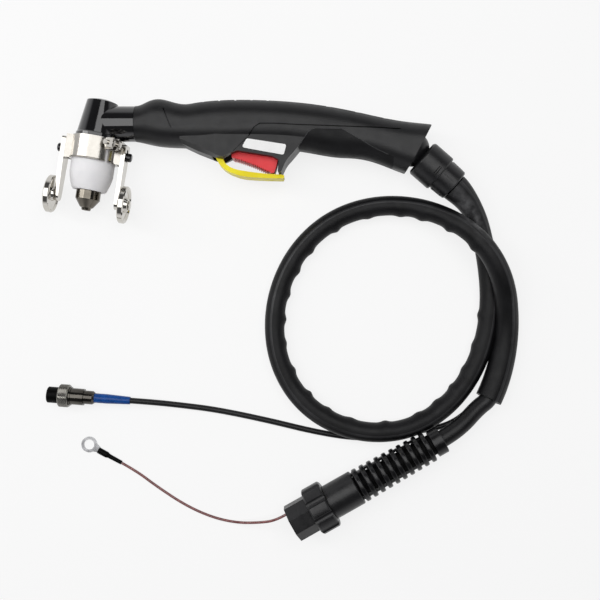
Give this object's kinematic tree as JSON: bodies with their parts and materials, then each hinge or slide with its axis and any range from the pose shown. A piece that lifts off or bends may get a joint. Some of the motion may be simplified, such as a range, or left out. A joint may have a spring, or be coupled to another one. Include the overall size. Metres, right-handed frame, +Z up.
{
  "type": "plasma cutting torch",
  "caption": "Hand plasma cutting torch lying on its side, with trigger and safety lever, roller guide, swivel, looped cable, machine connector, control plug and pilot wire.",
  "frame": {"origin": "centre of the bounding box of torch, guide and swivel, on the table", "axes": "+X from the torch head towards the handle's tail, +Y towards the handle's back, +Z up from the table"},
  "size_m": [0.3813, 0.3519, 0.045],
  "materials": {
    "black_gloss": "gloss",
    "handle_black": "fine grain",
    "grip_rubber": "soft matt",
    "trigger_red": "satin",
    "lever_yellow": "satin",
    "chrome_steel": "polished",
    "band_steel": "satin",
    "spring_steel": "drawn wire",
    "dark_steel": "black oxide",
    "nickel": "nickel plate",
    "copper": "turned copper",
    "brass": "turned brass",
    "cup_ceramic": "pressed ceramic",
    "swirl_resin": "moulded resin",
    "o_ring_rubber": "smooth",
    "cable_sheath": "soft, wrinkled",
    "cable_rubber": "smooth",
    "boot_rubber": "semi-gloss",
    "connector_black": "fine grain",
    "switch_body": "moulded",
    "switch_red": "moulded",
    "plug_metal": "nickel plate",
    "insulator_black": "moulded",
    "sleeve_blue": "shrunk tube",
    "wire_clear": "clear over copper",
    "tin_plate": "tinned"
  },
  "bodies": {
    "torch": {"head_body": "black_gloss", "head_o_ring": "o_ring_rubber", "torch_core": "brass", "gas_tube": "brass", "electrode": "copper", "electrode_emitter": "spring_steel", "swirl_ring": "swirl_resin", "nozzle": "nickel", "shield_cup": "cup_ceramic", "cup_insert": "brass", "lead_coupling": "brass", "inner_hose": "cable_rubber", "handle_shell_left": "handle_black", "handle_shell_right": "handle_black", "handle_screws": "dark_steel", "grip_top": "grip_rubber", "grip_rear": "grip_rubber", "trigger_pin": "spring_steel", "lever_pin": "spring_steel", "trigger_spring": "spring_steel", "lever_spring": "spring_steel", "micro_switch": "switch_body"},
    "trigger": {"trigger": "trigger_red"},
    "safety_lever": {"safety_lever": "lever_yellow"},
    "switch_button": {"switch_button": "switch_red"},
    "guide_ring": {"guide_band": "band_steel", "clamp_screw": "chrome_steel", "clamp_nut": "chrome_steel", "leg_screws": "dark_steel"},
    "leg_left": {"leg_left": "chrome_steel", "axle_left": "chrome_steel"},
    "leg_right": {"leg_right": "chrome_steel", "axle_right": "chrome_steel"},
    "wheel_left": {"wheel_left": "chrome_steel"},
    "wheel_right": {"wheel_right": "chrome_steel"},
    "lead": {"swivel_ball": "connector_black", "swivel_sleeve": "connector_black", "sheathed_cable": "cable_sheath", "bare_cable": "cable_rubber", "cable_in_boot": "cable_rubber", "strain_boot": "boot_rubber", "connector_body": "connector_black", "connector_shell": "connector_black", "power_nut": "brass", "control_cable": "cable_rubber", "plug_sleeve": "sleeve_blue", "plug_clamp": "plug_metal", "plug_shell": "plug_metal", "plug_insulator": "insulator_black", "plug_pins": "brass", "pilot_wire": "wire_clear", "terminal_shrink": "insulator_black", "ring_terminal": "tin_plate"},
    "hand_nut": {"hand_nut": "connector_black"},
    "coupling_ring": {"coupling_ring": "plug_metal"}
  },
  "joints": [
    {"name": "trigger_pull", "type": "hinge", "parent": "torch", "child": "trigger", "pos_m": [-0.0145, 0.0075, 0.019], "axis": [0, 0, 1], "range_deg": [0, 7.5], "stiffness_Nm_per_rad": 0.35, "springref_deg": -8.59, "deforming": ["trigger_spring"]},
    {"name": "safety_swing", "type": "hinge", "parent": "torch", "child": "safety_lever", "pos_m": [-0.028, 0.0064, 0.019], "axis": [0, 0, 1], "range_deg": [-25, 0], "stiffness_Nm_per_rad": 0.06, "springref_deg": 11.46},
    {"name": "switch_press", "type": "slide", "parent": "torch", "child": "switch_button", "axis": [0, 1, 0], "range_m": [0, 0.00164]},
    {"name": "guide_turn", "type": "hinge", "parent": "torch", "child": "guide_ring", "pos_m": [-0.1238, 0.0305, 0.019], "axis": [-0.1547, -0.988, 0], "range_deg": [-90, 90]},
    {"name": "leg_left_height", "type": "slide", "parent": "guide_ring", "child": "leg_left", "axis": [-0.1547, -0.988, 0], "range_m": [-0.002, 0.004]},
    {"name": "leg_right_height", "type": "slide", "parent": "guide_ring", "child": "leg_right", "axis": [-0.1547, -0.988, 0], "range_m": [-0.002, 0.004]},
    {"name": "wheel_left_spin", "type": "hinge", "parent": "leg_left", "child": "wheel_left", "pos_m": [-0.16284, -0.02493, 0.019], "axis": [0.988, -0.1547, 0], "continuous": true},
    {"name": "wheel_right_spin", "type": "hinge", "parent": "leg_right", "child": "wheel_right", "pos_m": [-0.10357, -0.03421, 0.019], "axis": [0.988, -0.1547, 0], "continuous": true},
    {"name": "swivel_turn", "type": "hinge", "parent": "torch", "child": "lead", "pos_m": [0.12631, 0.01058, 0.019], "axis": [0, 0, 1], "range_deg": [-7, 32]},
    {"name": "hand_nut_turn", "type": "hinge", "parent": "lead", "child": "hand_nut", "pos_m": [0.05346, -0.27616, 0.0195], "axis": [-0.8704, -0.4924, 0], "continuous": true},
    {"name": "coupling_ring_turn", "type": "hinge", "parent": "lead", "child": "coupling_ring", "pos_m": [-0.15424, -0.18792, 0.0092], "axis": [0.9972, -0.075, 0], "continuous": true}
  ],
  "couplings": [
    {"joint": "switch_press", "follows": "trigger_pull", "m_per_rad": 0.0125}
  ]
}
